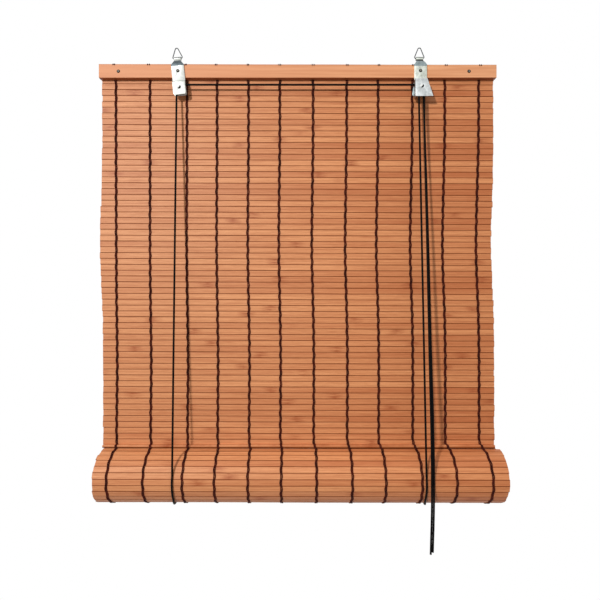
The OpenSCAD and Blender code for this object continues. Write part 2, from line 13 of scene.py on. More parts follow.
import bmesh
import bpy
from mathutils import Matrix, Vector, noise
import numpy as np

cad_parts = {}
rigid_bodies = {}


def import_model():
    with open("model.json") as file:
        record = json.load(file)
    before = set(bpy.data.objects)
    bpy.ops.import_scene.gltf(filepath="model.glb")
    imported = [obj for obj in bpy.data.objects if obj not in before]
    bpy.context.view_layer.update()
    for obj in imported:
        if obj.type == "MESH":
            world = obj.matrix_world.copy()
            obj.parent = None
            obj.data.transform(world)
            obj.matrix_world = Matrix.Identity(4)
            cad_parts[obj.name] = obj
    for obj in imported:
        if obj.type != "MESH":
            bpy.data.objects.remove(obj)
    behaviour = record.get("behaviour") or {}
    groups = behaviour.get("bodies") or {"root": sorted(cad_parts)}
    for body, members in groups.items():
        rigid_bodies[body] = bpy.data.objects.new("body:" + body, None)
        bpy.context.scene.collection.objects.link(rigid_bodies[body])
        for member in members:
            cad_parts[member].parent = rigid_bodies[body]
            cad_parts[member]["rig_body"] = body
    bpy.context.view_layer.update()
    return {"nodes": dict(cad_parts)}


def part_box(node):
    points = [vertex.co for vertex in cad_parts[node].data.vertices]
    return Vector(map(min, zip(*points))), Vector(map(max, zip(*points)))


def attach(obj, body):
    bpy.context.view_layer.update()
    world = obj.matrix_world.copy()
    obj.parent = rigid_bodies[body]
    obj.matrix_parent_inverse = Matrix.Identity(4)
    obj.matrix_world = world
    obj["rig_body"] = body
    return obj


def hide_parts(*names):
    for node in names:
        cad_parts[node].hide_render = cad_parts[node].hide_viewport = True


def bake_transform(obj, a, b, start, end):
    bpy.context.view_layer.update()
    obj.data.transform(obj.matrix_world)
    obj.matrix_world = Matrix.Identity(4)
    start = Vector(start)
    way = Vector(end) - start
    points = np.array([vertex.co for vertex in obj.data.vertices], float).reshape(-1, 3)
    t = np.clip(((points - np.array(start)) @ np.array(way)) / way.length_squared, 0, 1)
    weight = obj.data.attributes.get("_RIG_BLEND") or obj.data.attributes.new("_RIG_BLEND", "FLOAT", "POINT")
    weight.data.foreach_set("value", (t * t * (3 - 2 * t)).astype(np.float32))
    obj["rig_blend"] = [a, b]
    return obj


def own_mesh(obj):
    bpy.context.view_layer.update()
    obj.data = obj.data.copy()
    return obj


for leftover in list(bpy.data.objects):
    bpy.data.objects.remove(leftover)
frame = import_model()

# %% [markdown]
# ## Sizes that several pieces share
# They repeat the part's driving sizes, because a scene can't read the part's source.

# %% Shared sizes
MM = 0.001
BLIND_W = 600 * MM
SLAT_PITCH = 8.93 * MM
SLAT_H = 9.2 * MM
SLAT_T = 1.8 * MM
RAIL_TOP, RAIL_BOTTOM = -28 * MM, -47.5 * MM
MAT_TOP, MAT_FRONT = -34.5 * MM, 2 * MM
HANG_SLATS = 64
MAT_BOTTOM = MAT_TOP - HANG_SLATS * SLAT_PITCH
RAIL_FRONT, RAIL_BACK = -6 * MM, 9.8 * MM
RAIL_TAPER, RAIL_PROUD = 0.002, 0.8 * MM
ROLL_X, ROLL_Y, ROLL_Z, ROLL_R = 3.2 * MM, -4.5 * MM, -648.72 * MM, 39.5 * MM
PULLEY_Z = -64 * MM
LEFT_X, RIGHT_X = -178.5 * MM, 186 * MM
LEFT_SLING_X, RIGHT_SLING_X = -180 * MM, 185 * MM
REAR_Y, FRONT_Y = -9.25 * MM, -12.7 * MM
LIFT = 0.46
CORD_R, CORD_SHOWN_R = 1.2 * MM, 1.45 * MM
print("hanging mat ends at", round(MAT_BOTTOM, 4))


def smooth_step(low, high, value):
    t = min(1, max(0, (value - low) / (high - low)))
    return t * t * (3 - 2 * t)


WARPS = (-278.0, -225.8, -169.2, -123.0, -74.8, -26.8, 24.2, 75.7, 123.9, 176.2, 226.1, 278.0)


def hump(z, centre, width):
    """1 at the height of its centre, and fading to nothing above and below."""
    return math.exp(-(((z - centre) / width) ** 2))


def warp_place(k, z):
    """Sideways place of warp line k at height z: the lines were tied by eye, and they wander."""
    share = k / (len(WARPS) - 1)
    wander = -share * (4.4 * hump(z, -0.30, 0.09) + 0.8 * hump(z, -0.20, 0.05))
    wander += 1.2 * (1 - share) * hump(z, -0.48, 0.08) - 0.7 * (1 - smooth_step(0.05, 0.5, -z))
    return (WARPS[k] + wander) * MM


def sway(z):
    """How far the mat has slipped sideways at height z: left in the middle, right lower down."""
    return (-3.5 * hump(z, -0.30, 0.075) + 1.4 * smooth_step(0.30, 0.45, -z)) * MM


def rail_top(x):
    """Height of the headrail's top edge: the strips were planed a little higher at the left."""
    return RAIL_TOP + RAIL_PROUD - RAIL_TAPER * x

# %% [markdown]
# ## Camera
# The picture was taken close to the blind, straight from the front, so the roll, which stands
# forward, looks wider than the headrail. A wide lens at the same distance gives the same shape.

# %% Camera
scene = bpy.context.scene
scene.view_settings.view_transform = "Standard"
CAMERA_DISTANCE, PIXEL, FRAME_PX = 0.707, 1.534 * MM, 600
CAMERA_X, CAMERA_Z, SENSOR_MM = 3.5 * MM, -384.7 * MM, 36
camera_data = bpy.data.cameras.new("camera")
camera_data.sensor_fit = "HORIZONTAL"
camera_data.sensor_width = SENSOR_MM
camera_data.lens = SENSOR_MM * CAMERA_DISTANCE / (FRAME_PX * PIXEL)
camera = bpy.data.objects.new("camera", camera_data)
camera.location = (CAMERA_X, MAT_FRONT - CAMERA_DISTANCE, CAMERA_Z)
camera.rotation_euler = (math.pi / 2, 0, 0)
scene.collection.objects.link(camera)
scene.camera = camera
print("lens", round(camera_data.lens, 2), "mm")

# %% [markdown]
# ## Material helpers
# Each finish is a small tree of nodes. `add` puts in a node with its values and joins the sockets
# that it is given, and the others wrap it, so that a tree reads from top to bottom.

# %% Material helpers
def linear(red, green, blue):
    """A colour picked on a screen, 0 to 255, as the linear values that a shader takes."""
    def one(c):
        c /= 255
        return c / 12.92 if c <= 0.04045 else ((c + 0.055) / 1.055) ** 2.4
    return (one(red), one(green), one(blue), 1)


def add(tree, kind, values=None, **settings):
    node = tree.nodes.new("ShaderNode" + kind)
    for name, value in settings.items():
        setattr(node, name, value)
    for key, value in (values or {}).items():
        if isinstance(value, bpy.types.NodeSocket):
            tree.links.new(value, node.inputs[key])
        else:
            node.inputs[key].default_value = value
    return node


def coords(tree, kind):
    """Texture coordinates of one kind, such as Object or Normal."""
    return add(tree, "TexCoord").outputs[kind]


def split(tree, vector):
    """The X, Y and Z sockets of a vector."""
    return add(tree, "SeparateXYZ", {0: vector}).outputs


def math_node(tree, operation, a, b=0.0, c=0.0, clamp=False):
    """c counts for MULTIPLY_ADD only."""
    values = {0: a, 1: b, 2: c}
    return add(tree, "Math", values, operation=operation, use_clamp=clamp).outputs[0]


def times(tree, a, b):
    return math_node(tree, "MULTIPLY", a, b)


def ramp(tree, value, low, high):
    """0 at low and 1 at high, with soft ends."""
    return add(
        tree, "MapRange", {"Value": value, "From Min": low, "From Max": high},
        interpolation_type="SMOOTHSTEP",
    ).outputs["Result"]


MIX_SHARE, MIX_A, MIX_B, MIXED = 0, 6, 7, 2  # the colour sockets of a mix node


def blend_colours(tree, share, a, b):
    values = {MIX_SHARE: share, MIX_A: a, MIX_B: b}
    return add(tree, "Mix", values, data_type="RGBA").outputs[MIXED]


def tinted(tree, body, mask, share, colour):
    """The body colour with up to a share of another colour, where the mask is 1."""
    return blend_colours(tree, times(tree, mask, share), body, linear(*colour))


def new_group(name, inputs, outputs):
    tree = bpy.data.node_groups.new(name, "ShaderNodeTree")
    for label, start in inputs.items():
        socket = tree.interface.new_socket(label, in_out="INPUT", socket_type="NodeSocketFloat")
        socket.default_value = start
    for label in outputs:
        tree.interface.new_socket(label, in_out="OUTPUT", socket_type="NodeSocketFloat")
    given, made = tree.nodes.new("NodeGroupInput"), tree.nodes.new("NodeGroupOutput")
    return tree, given.outputs, made.inputs


def new_material(name):
    material = bpy.data.materials.new(name)
    material.use_nodes = True
    return material, material.node_tree, material.node_tree.nodes["Principled BSDF"]


def place_group(tree, group, **values):
    return add(tree, "Group", values, node_tree=group).outputs


def bump(tree, shader, height, strength, distance):
    node = add(tree, "Bump", {
        "Height": height, "Strength": strength, "Distance": distance})
    tree.links.new(node.outputs["Normal"], shader.inputs["Normal"])


def roughen(tree, shader, value, start, end):
    """Roughness goes from start to end as the value goes from 0 to 1."""
    node = add(tree, "MapRange", {"Value": value, "To Min": start, "To Max": end})
    tree.links.new(node.outputs["Result"], shader.inputs["Roughness"])

# %% [markdown]
# ## Braid and twist
# Cords are braided and warp threads are twisted. Both are stripes that run round a tube at a
# slant, so one group draws them from the tube's own UV map: u goes once round, v is metres along.

# %% Braid group
def make_braid_group():
    tree, given, made = new_group("braid", {"Strands": 4, "Pitch": 0.006}, ["Height", "Gap"])
    parts = split(tree, add(tree, "UVMap", uv_map="tube").outputs["UV"])
    round_part = times(tree, parts["X"], given["Strands"])
    along = math_node(tree, "DIVIDE", parts["Y"], given["Pitch"])
    waves = []
    for sign in ("ADD", "SUBTRACT"):
        slant = math_node(tree, sign, round_part, along)
        waves.append(math_node(tree, "SINE", times(tree, slant, 2 * math.pi)))
    crossing = times(tree, waves[0], waves[1])
    height = math_node(tree, "MULTIPLY_ADD", crossing, 0.5, 0.5)
    tree.links.new(height, made["Height"])
    # Gap marks the grooves between strands, where the finishes paint shade.
    tree.links.new(ramp(tree, height, 0.42, 0.1), made["Gap"])
    return tree


braid = make_braid_group()


def make_cord_material():
    material, tree, shader = new_material("black_cord")
    weave = place_group(tree, braid, Strands=4, Pitch=0.0052)
    # Painted shade in the grooves between the strands.
    colour = blend_colours(tree, weave["Gap"], linear(11, 9, 9), linear(3, 2, 2))
    tree.links.new(colour, shader.inputs["Base Color"])
    roughen(tree, shader, weave["Height"], 0.7, 0.5)
    shader.inputs["Specular IOR Level"].default_value = 0.05
    bump(tree, shader, weave["Height"], 0.6, 0.0002)
    return material


cord_finish = make_cord_material()
print("finishes:", cord_finish.name)

# %% [markdown]
# ## Sweeping a tube
# A cord is a circle drawn out along its route. The ring of edges is extruded to each next point and
# turned to the new heading, so the tube never twists, and its UV map follows it.

# %% Sweep
def ring_of(bm, points, radius, sides):
    """Sweeps a circle along points inside bm, and closes both ends."""
    around = bm.verts.layers.int.get("around") or bm.verts.layers.int.new("around")
    far = bm.verts.layers.float.get("far") or bm.verts.layers.float.new("far")
    steps = [(b - a).normalized() for a, b in zip(points, points[1:])]
    between = [(a + b).normalized() for a, b in zip(steps, steps[1:])]
    headings = [steps[0], *between, steps[-1]]
    turn = Vector((0, 0, 1)).rotation_difference(headings[0]).to_matrix().to_4x4()
    made = bmesh.ops.create_circle(
        bm, segments=sides, radius=radius, cap_ends=False,
        matrix=Matrix.Translation(points[0]) @ turn)
    ring = made["verts"]
    for j, vert in enumerate(ring):
        vert[around] = j
    first, distance = ring, 0.0
    edges = list({e for v in ring for e in v.link_edges})
    for i in range(1, len(points)):
        grown = bmesh.ops.extrude_edge_only(bm, edges=edges)["geom"]
        ring = [g for g in grown if isinstance(g, bmesh.types.BMVert)]
        edges = [e for e in grown
                 if isinstance(e, bmesh.types.BMEdge) and all(v in set(ring) for v in e.verts)]
        distance += (points[i] - points[i - 1]).length
        bmesh.ops.translate(bm, vec=points[i] - points[i - 1], verts=ring)
        swing = headings[i - 1].rotation_difference(headings[i]).to_matrix()
        bmesh.ops.rotate(bm, cent=points[i], matrix=swing, verts=ring)
        for vert in ring:
            vert[far] = distance
    for end in (first, ring):
        bmesh.ops.contextual_create(bm, geom=list({e for v in end for e in v.link_edges
                                                   if all(w in set(end) for w in e.verts)}))


def wrap_uv(bm, sides):
    around, far = bm.verts.layers.int["around"], bm.verts.layers.float["far"]
    uv = bm.loops.layers.uv.new("tube")
    for face in bm.faces:
        places = [loop.vert[around] for loop in face.loops]
        across_seam = len(places) == 4 and max(places) - min(places) > 1
        for loop, place in zip(face.loops, places):
            if across_seam and place == 0:
                place = sides
            loop[uv].uv = (place / sides, loop.vert[far])


def soften(bm, edges, width, **more):
    """Rounds edges off in two small steps."""
    bmesh.ops.bevel(bm, geom=edges, offset=width, offset_type="OFFSET", affect="EDGES",
                    segments=2, profile=0.5, material=-1, **more)


def finished(bm, name, *materials, smooth=True, turn_out=True):
    """The bmesh as an object at the origin, with its place in its mesh."""
    if turn_out:
        bmesh.ops.recalc_face_normals(bm, faces=bm.faces)
    mesh = bpy.data.meshes.new(name)
    bm.to_mesh(mesh)
    bm.free()
    for material in materials:
        mesh.materials.append(material)
    if smooth:
        mesh.shade_smooth()
    piece = bpy.data.objects.new(name, mesh)
    scene.collection.objects.link(piece)
    return piece


def tube(name, points, radius, material, sides=12):
    bm = bmesh.new()
    ring_of(bm, [Vector(p) for p in points], radius, sides)
    wrap_uv(bm, sides)
    piece = finished(bm, name, material)
    return piece

# %% [markdown]
# ## Pull strands
# Two strands leave the lock and hang in front of the roll with cut ends. The upper length of each
# rides the headrail, and the lower length runs on down, weighted from the sling to the pull along
# its length, so a strand is two tubes that meet at the height of the roll's axis. The route points
# are those of the solids, a little further out above the roll, where the lifted roll passes.

# %% Pull strands
REAR_UPPER = [
    (190.2, -9.25, -80), (190.3, -9.9, -90), (190.5, -11, -105), (190.9, -12.8, -135),
    (191.3, -14.7, -165), (191.9, -16.6, -195), (192.4, -19.1, -235), (192.9, -21.6, -275),
    (193.3, -24.2, -315), (193.6, -26.7, -355), (194, -29.3, -395), (194.2, -31.8, -435),
    (194.4, -35, -475), (194.6, -38.7, -515), (194.8, -42.6, -555), (194.9, -45.6, -600),
    (194.9, -46.7, -630), (194.9, -47, -650)]
REAR_LOWER = [
    (194.9, -47, -650), (194.9, -47.1, -670), (194.6, -47.1, -690),
    (194.2, -47, -710), (193.6, -46.9, -730), (193.2, -46.8, -745)]
FRONT_UPPER = [
    (190.2, -12.7, -80), (190.1, -13.3, -90), (190, -14.2, -105), (189.9, -15.9, -135),
    (190, -17.7, -165), (190.3, -19.5, -195), (190.5, -21.9, -235), (190.7, -24.2, -275),
    (190.9, -26.6, -315), (191.1, -28.9, -355), (191.3, -31.3, -395), (191.5, -33.6, -435),
    (191.6, -36.3, -475), (191.7, -39.4, -515), (191.8, -42.9, -555), (191.9, -45.7, -600),
    (191.9, -46.7, -630), (191.9, -47, -650)]
FRONT_LOWER = [
    (191.9, -47, -650), (191.9, -47.1, -670), (191.6, -47.1, -690),
    (191.2, -47, -710), (190.6, -46.9, -730), (190.2, -46.8, -748)]


def shorten(piece, top, bottom):
    """Gives the piece its own copy of its mesh; top and bottom are not used."""
    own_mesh(piece)


def route_length(points):
    return sum((Vector(b) - Vector(a)).length for a, b in zip(points, points[1:]))


for name, upper_route, lower_route in (
    ("rear", REAR_UPPER, REAR_LOWER), ("front", FRONT_UPPER, FRONT_LOWER),
):
    upper = [tuple(c * MM for c in p) for p in upper_route]
    lower = [tuple(c * MM for c in p) for p in lower_route]
    upper_piece = tube(f"pull_{name}_upper_strand", upper, CORD_SHOWN_R, cord_finish)
    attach(upper_piece, "headrail")
    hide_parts(f"pull_{name}_upper")
    shorten(upper_piece, upper[0][2], upper[-1][2])
    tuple(upper[0])
    route_length(upper)
    lower_piece = tube(f"pull_{name}_lower_strand", lower, CORD_SHOWN_R, cord_finish)
    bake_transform(lower_piece, "sling", "pull", start=lower[0], end=lower[-1])
    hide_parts(f"pull_{name}_lower")
    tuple(lower[0])
    route_length(lower)
    print(name, "strand", round(route_length(upper) + route_length(lower), 3), "m")

# %% [markdown]
# ## Bamboo skin
# Every slat was split from another cane, so each has its own tone. Along it run fine fibres, and
# where the cane had a joint there is a reddish smudge. The left half of the mat has faded more, and
# the right half gets painted shade for the lamp's falloff. The rounded long edges get painted shade,
# which draws the dark grooves between the slats. The slats' UV map holds metres along the slat in u,
# and the slat's number plus the place across it in v, so one group can tell slats apart.

# %% Bamboo group
def make_bamboo_group():
    tree, given, made = new_group(
        "bamboo_skin", {"Joint spacing": 0.31, "Joint width": 0.016},
        ["Tone", "Fibre", "Joint", "Edge", "Fade and falloff"])
    parts = split(tree, add(tree, "UVMap", uv_map="slat").outputs["UV"])
    along, across = parts["X"], parts["Y"]
    number = math_node(tree, "FLOOR", across)
    share = math_node(tree, "FRACT", across)

    def own_value(offset):
        seed = math_node(tree, "ADD", number, offset)
        node = add(tree, "TexWhiteNoise", {"W": seed}, noise_dimensions="1D")
        return node.outputs["Value"]

    def streaks(length_scale, width_scale, detail):
        place = add(tree, "CombineXYZ", {
            0: times(tree, along, length_scale),
            1: times(tree, across, width_scale),
            2: times(tree, number, 3.7)})
        node = add(tree, "TexNoise", {
            "Vector": place.outputs[0], "Scale": 1.0, "Detail": detail, "Roughness": 0.62})
        return node.outputs["Fac"]

    slow = ramp(tree, streaks(4, 0.7, 2), 0.3, 0.7)
    own = times(tree, own_value(0.5), 0.62)
    tree.links.new(math_node(tree, "MULTIPLY_ADD", slow, 0.38, own), made["Tone"])
    fine = times(tree, streaks(70, 26, 3), 0.45)
    fibre = math_node(tree, "MULTIPLY_ADD", streaks(11, 7, 5), 0.55, fine)
    tree.links.new(fibre, made["Fibre"])
    step = math_node(tree, "DIVIDE", along, given["Joint spacing"])
    step = math_node(tree, "FRACT", math_node(tree, "ADD", step, own_value(40.5)))
    near = math_node(tree, "ABSOLUTE", math_node(tree, "SUBTRACT", step, 0.5))
    metres = times(tree, near, given["Joint spacing"])
    worn = math_node(tree, "MULTIPLY_ADD", streaks(60, 3, 2), 1.1, 0.4)
    width = times(tree, given["Joint width"], worn)
    joint = math_node(tree, "SUBTRACT", 1.0, math_node(tree, "DIVIDE", metres, width), clamp=True)
    strong = ramp(tree, own_value(90.5), 0.15, 0.6)
    smudge = times(tree, ramp(tree, streaks(45, 5, 3), 0.32, 0.58), strong)
    tree.links.new(times(tree, joint, smudge), made["Joint"])
    # Edge marks the rounded long edges, where the slat finish paints the shade of the grooves.
    rim = math_node(tree, "ABSOLUTE", math_node(tree, "SUBTRACT", share, 0.5))
    tree.links.new(ramp(tree, rim, 0.39, 0.475), made["Edge"])
    tree.links.new(ramp(tree, along, 0.3, -0.3), made["Fade and falloff"])
    return tree


bamboo_skin = make_bamboo_group()


def make_slat_material():
    material, tree, shader = new_material("bamboo_slats")
    skin = place_group(tree, bamboo_skin)
    body = blend_colours(tree, skin["Tone"], linear(188, 107, 61), linear(234, 160, 106))
    body = tinted(tree, body, skin["Fade and falloff"], 0.5, (212, 151, 106))
    # Painted shade: the right half darker, as the lamp falls off from the left.
    body = tinted(tree, body, ramp(tree, skin["Fade and falloff"], 0.4, 0.0), 0.15, (150, 80, 42))
    body = tinted(tree, body, ramp(tree, skin["Fibre"], 0.62, 0.36), 0.55, (158, 79, 36))
    body = tinted(tree, body, ramp(tree, skin["Fibre"], 0.58, 0.78), 0.35, (246, 186, 134))
    body = tinted(tree, body, skin["Joint"], 0.85, (156, 78, 38))
    # Painted shade: the rounded long edges dark, as in the shadowed grooves between slats.
    body = tinted(tree, body, skin["Edge"], 0.92, (98, 40, 9))
    tree.links.new(body, shader.inputs["Base Color"])
    roughen(tree, shader, skin["Fibre"], 0.62, 0.42)
    flat = math_node(tree, "SUBTRACT", 1.0, skin["Edge"])
    tree.links.new(times(tree, flat, 0.3), shader.inputs["Specular IOR Level"])
    bump(tree, shader, skin["Fibre"], 0.35, 0.0003)
    return material


slat_finish = make_slat_material()
print("finishes:", slat_finish.name)

# %% [markdown]
# ## One slat
# A slat is a thin bar with its long edges rounded by the splitting knife. A cube is scaled, its
# long edges are bevelled and cut across, and the cuts let each slat bow a little in its own way.

# %% One slat
def slat_pattern(cuts):
    bm = bmesh.new()
    bmesh.ops.create_cube(bm, size=1)
    bmesh.ops.scale(bm, vec=(BLIND_W, SLAT_T, SLAT_H), verts=bm.verts)

    def long_edges():
        return [e for e in bm.edges if abs(e.verts[0].co.x - e.verts[1].co.x) > BLIND_W / 2]

    soften(bm, long_edges(), 0.75 * MM)
    if cuts:
        bmesh.ops.subdivide_edges(bm, edges=long_edges(), cuts=cuts, use_grid_fill=True)
    uv = bm.loops.layers.uv.new("slat")
    for face in bm.faces:
        for loop in face.loops:
            spot = loop.vert.co
            loop[uv].uv = (spot.x, min(0.99, max(0.01, spot.z / SLAT_H + 0.5)))
    mesh = bpy.data.meshes.new(f"slat_pattern_{cuts}")
    bm.to_mesh(mesh)
    bm.free()
    return mesh


fine_slat, plain_slat = slat_pattern(15), slat_pattern(0)
print("one slat:", len(fine_slat.polygons), "faces")


def lay_slat(bm, pattern, number, matrix, chance, bow=0.12 * MM, slide=0.5 * MM):
    """Copies a slat into bm, with its own length, slip and bow."""
    verts_before, faces_before = len(bm.verts), len(bm.faces)
    bm.from_mesh(pattern)
    bm.verts.ensure_lookup_table()
    bm.faces.ensure_lookup_table()
    slip, spread = chance.uniform(-slide, slide), 1 + chance.uniform(-1, 1) * 0.9 * MM
    lift = chance.uniform(-0.09, 0.09) * MM
    waves, start = chance.uniform(1, 3), chance.uniform(0, 6.28)
    for vert in bm.verts[verts_before:]:
        x = vert.co.x
        wave = math.sin(waves * 9 * x + start) + 0.6 * math.sin(waves * 23 * x + 2 * start)
        vert.co.z += bow * 0.6 * wave
        vert.co.y += lift + bow * math.sin(waves * 7 * x + 3 * start)
        vert.co.x = x * spread + slip
        vert.co = matrix @ vert.co
    if matrix.determinant() < 0:
        bmesh.ops.reverse_faces(bm, faces=bm.faces[faces_before:])
    uv = bm.loops.layers.uv["slat"]
    for face in bm.faces[faces_before:]:
        for loop in face.loops:
            loop[uv].uv.y += number


def slat_mesh():
    bm = bmesh.new()
    bm.loops.layers.uv.new("slat")
    return bm

# %% [markdown]
# ## The hanging mat
# The slats that hang free are one piece, because the mat gets shorter as the roll takes it up.
# The top slats sit between the battens, and they stay where they are.

# %% Hanging slats
FIRST_FREE = next(k for k in range(HANG_SLATS) if MAT_TOP - k * SLAT_PITCH <= RAIL_BOTTOM)
FREE_TOP = MAT_TOP - FIRST_FREE * SLAT_PITCH
chance = random.Random(7)
hanging, tucked = slat_mesh(), slat_mesh()
for k in range(HANG_SLATS):
    z = MAT_TOP - (k + 0.5) * SLAT_PITCH
    where = Matrix.Translation((sway(z), MAT_FRONT + SLAT_T / 2, z))
    if k < FIRST_FREE:
        lay_slat(tucked, plain_slat, k, where, chance, bow=0, slide=0.2 * MM)
    else:
        lay_slat(hanging, fine_slat, k, where, chance)


def slope(x):
    """The slats lie a little lower to the right."""
    return -1.5 * MM - 0.003 * x


for vert in [*hanging.verts, *tucked.verts]:
    vert.co.z += slope(vert.co.x)
mat_piece = finished(hanging, "hanging_slats", slat_finish, smooth=False, turn_out=False)
tucked_piece = finished(tucked, "tucked_slats", slat_finish, smooth=False, turn_out=False)
for piece in (mat_piece, tucked_piece):
    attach(piece, "headrail")
    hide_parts("slat_mat")
shorten(mat_piece, FREE_TOP, MAT_BOTTOM)
print("hanging mat:", len(mat_piece.data.polygons), "faces")

# %% [markdown]
# ## The roll
# The mat winds on to the roll over the front. Most of each turn is round, and at its end the mat
# drops under the turn above it. Each slat lies on a chord of that line.

# %% Winding line
TURNS, ROUND_SHARE, CORE_R = 6, 0.97, 12.7 * MM
TURN_PITCH = (ROLL_R - CORE_R) / TURNS
ROLL_START, ROLL_END, LAST_ARC = 2.5, 360 * TURNS - 0.01, 8


def winding_radius(degrees):
    turn = math.floor(degrees / 360)
    drop = max(0, (degrees / 360 - turn - ROUND_SHARE) / (1 - ROUND_SHARE))
    return ROLL_R - TURN_PITCH * (turn + drop)


def slat_edges():
    edges, angle = [], ROLL_START
    while angle < ROLL_END - LAST_ARC:
        edges.append(angle)
        angle += 2 * math.degrees(math.asin(SLAT_PITCH / 2 / winding_radius(angle)))
    return edges + [ROLL_END]


def roll_point(degrees, radius):
    a = math.radians(degrees)
    return Vector((0, ROLL_Y - radius * math.sin(a), ROLL_Z + radius * math.cos(a)))


def chord_frame(a, b):
    """The frame of a slat whose outer face joins points a and b of the winding line."""
    along = (b - a).normalized()
    normal = Vector((0, along.z, -along.y))
    if normal.dot((a + b) / 2 - Vector((0, ROLL_Y, ROLL_Z))) < 0:
        normal.negate()
    middle = (a + b) / 2 - normal * (SLAT_T / 2)
    turn = Matrix(((1, 0, 0), (0, -normal.y, -along.y), (0, -normal.z, -along.z))).to_4x4()
    return Matrix.Translation(middle) @ turn


def sag(x):
    """The roll hangs a little lower at its right end."""
    return -0.7 * MM - 0.0024 * x


def outward(degrees):
    """The slats on the upper front have slid to the right."""
    return 1.4 * MM * (1 + math.cos(math.radians(degrees))) if degrees < 180 else 0


EDGES = slat_edges()
print("slats in the roll:", len(EDGES) - 1)

# %% Rolled slats
rolled = slat_mesh()
OUTER_TURN = 380
TURNING_NUMBER, FIRST_ROLLED, CORE_NUMBER = 99, 100, 300
for i, (a, b) in enumerate(zip(EDGES, EDGES[1:])):
    outer = a < OUTER_TURN
    place = chord_frame(roll_point(a, winding_radius(a)), roll_point(b, winding_radius(b)))
    telescope = outward(a) if outer else chance.uniform(-1, 1) * MM
    lay_slat(rolled, fine_slat if outer else plain_slat, FIRST_ROLLED + i,
             Matrix.Translation((ROLL_X + telescope, 0, 0)) @ place, chance, slide=0.7 * MM)
core_top = winding_radius(ROLL_END) - SLAT_T
for z in (core_top - SLAT_H / 2, core_top - SLAT_H * 1.55):
    where = Matrix.Translation((ROLL_X, ROLL_Y, ROLL_Z + z))
    lay_slat(rolled, plain_slat, CORE_NUMBER, where, chance, bow=0)
for vert in rolled.verts:
    vert.co.z += sag(vert.co.x)
roll_piece = finished(rolled, "rolled_slats", slat_finish, smooth=False, turn_out=False)
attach(roll_piece, "roll")
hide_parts("mat_roll")
print("roll:", len(roll_piece.data.polygons), "faces")

# %% Turning slat
BEND_R, BEND_BACK = ROLL_R + 1.1 * MM + SLAT_T / 2, 2 * MM
LIP_DROP, TOP_RISE, TURNING_SHARE = 1.9 * MM, 0.2 * MM, 0.9935
LIP_SHADE_V, FACE_V = TURNING_NUMBER + 0.999, TURNING_NUMBER + 0.888
bend_angle = -math.asin(BEND_BACK / BEND_R)
tilt = Matrix.Rotation(bend_angle - math.pi / 2, 4, "X")
above = roll_point(math.degrees(bend_angle), BEND_R) + Vector((ROLL_X / 2, 1.6 * MM, 0.45 * MM))
turning = slat_mesh()
lay_slat(turning, fine_slat, TURNING_NUMBER, Matrix.Translation(above) @ tilt, chance)
under = {v for v in turning.verts if v.co.z < above.z - 0.2 * MM}
bmesh.ops.scale(turning, vec=(TURNING_SHARE, 1, 1), verts=turning.verts)
uv = turning.loops.layers.uv["slat"]
# Painted shade: the lower face takes the dark edge colour all over, and draws the shadow line between mat
# and roll.
for vert in turning.verts:  # the lower face hangs as a dark lip over the roll
    vert.co.z += sag(vert.co.x) - LIP_DROP if vert in under else TOP_RISE
    for loop in vert.link_loops:
        loop[uv].uv.y = LIP_SHADE_V if vert in under else FACE_V
bend_piece = finished(turning, "turning_slat", slat_finish, smooth=False, turn_out=False)
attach(bend_piece, "sling")
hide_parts("mat_bend")
print("turning slat at", round(above.z, 4))

# %% [markdown]
# ## Warp threads
# On each warp line two thick threads lie side by side, and dip into every gap, where they are tied.
# They zigzag from slat to slat. One length over one slat is swept once and repeated, turned over at
# every other slat, and so the whole line is laid on the mat or round the roll.

# %% Thread finish
def make_thread_material():
    material, tree, shader = new_material("warp_thread")
    twist = place_group(tree, braid, Strands=2, Pitch=0.0021)
    mottle = add(tree, "TexNoise", {
        "Vector": coords(tree, "Object"), "Scale": 90.0, "Detail": 2.0})
    patchy = ramp(tree, mottle.outputs["Fac"], 0.35, 0.7)
    colour = blend_colours(tree, patchy, linear(54, 15, 8), linear(86, 28, 14))
    # Painted shade in the grooves of the twist.
    colour = tinted(tree, colour, twist["Gap"], 0.6, (24, 9, 5))
    tree.links.new(colour, shader.inputs["Base Color"])
    shader.inputs["Roughness"].default_value = 0.85
    shader.inputs["Specular IOR Level"].default_value = 0.15
    bump(tree, shader, twist["Height"], 0.5, 0.0001)
    return material


thread_finish = make_thread_material()
THREAD_R, THREAD_SIDES, STEPS = 0.95 * MM, 5, 5
PAIR_HALF, LEAN_HEIGHT, LEAN_SHARE = 0.95 * MM, 18 * MM, 0.35
print("finish:", thread_finish.name)

# %% Warp lines
def thread_unit():
    """Two threads over one slat, from gap to gap: x across, y out of the mat, z along it."""
    bm = bmesh.new()
    for side in (-1, 1):
        points = []
        for i in range(STEPS + 1):
            t = i / STEPS
            points.append(Vector((
                (side * (0.85 + 0.22 * math.sin(math.pi * t)) + 0.5 * math.sin(math.pi * t)) * MM,
                -(0.5 - 0.30 * abs(2 * t - 1) ** 3 + 0.16 * side * math.sin(math.pi * t)) * MM,
                -t * SLAT_PITCH)))
        ring_of(bm, points, THREAD_R, THREAD_SIDES)
    wrap_uv(bm, THREAD_SIDES)
    bmesh.ops.recalc_face_normals(bm, faces=bm.faces)
    mesh = bpy.data.meshes.new("thread_unit")
    bm.to_mesh(mesh)
    bm.free()
    return mesh


unit = thread_unit()


def lay_threads(bm, count, place, flip=False):
    """Copies count units into bm, and puts each vertex where place(x, out, along) says."""
    for n in range(count):
        before = len(bm.verts)
        bm.from_mesh(unit)
        bm.verts.ensure_lookup_table()
        for vert in bm.verts[before:]:
            x = -vert.co.x if (n % 2) != flip else vert.co.x
            vert.co = place(x, -vert.co.y, n * SLAT_PITCH - vert.co.z)


